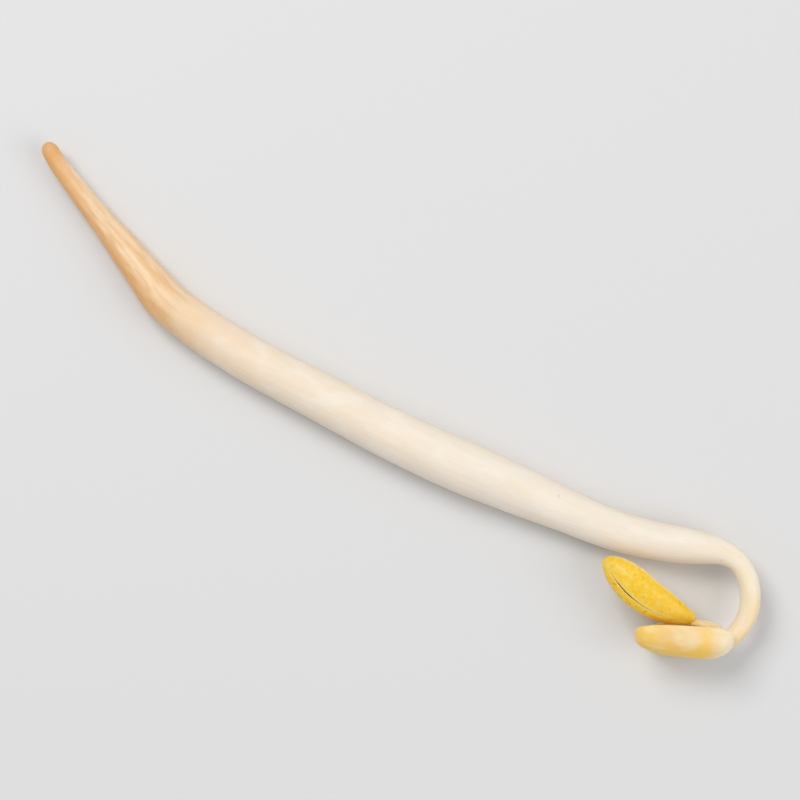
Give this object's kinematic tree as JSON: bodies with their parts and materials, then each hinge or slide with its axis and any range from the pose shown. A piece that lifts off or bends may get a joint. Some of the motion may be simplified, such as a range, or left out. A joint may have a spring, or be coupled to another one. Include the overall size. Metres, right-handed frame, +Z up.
{
  "type": "mung bean sprout",
  "caption": "A mung bean sprout lying down: tan root tip, long white stem ending in a hook, cream cotyledons and a pair of folded yellow leaves.",
  "frame": {"origin": "the middle of the sprout's box, at its foot, on the surface it lies on", "axes": "+Z is up, away from the surface. +X runs along the sprout's longest side from the root end to the hook. +Y is towards the root end, and the leaves and cotyledons are towards -Y."},
  "size_m": [0.0508, 0.0366, 0.0047],
  "materials": {
    "root": "moist, tan, with browner edges and tip",
    "stem": "moist, cream white, slightly see-through, with fine streaks lengthwise",
    "cotyledon": "moist, cream to golden, smooth",
    "shoot": "moist, pale cream yellow",
    "leaf": "soft, bright yellow to deep gold, with pale midribs"
  },
  "bodies": {
    "root": {"root": "root", "hypocotyl": "stem", "cotyledon_upper": "cotyledon", "cotyledon_lower": "cotyledon", "epicotyl": "shoot", "leaf_left": "leaf", "leaf_right": "leaf"}
  },
  "joints": []
}
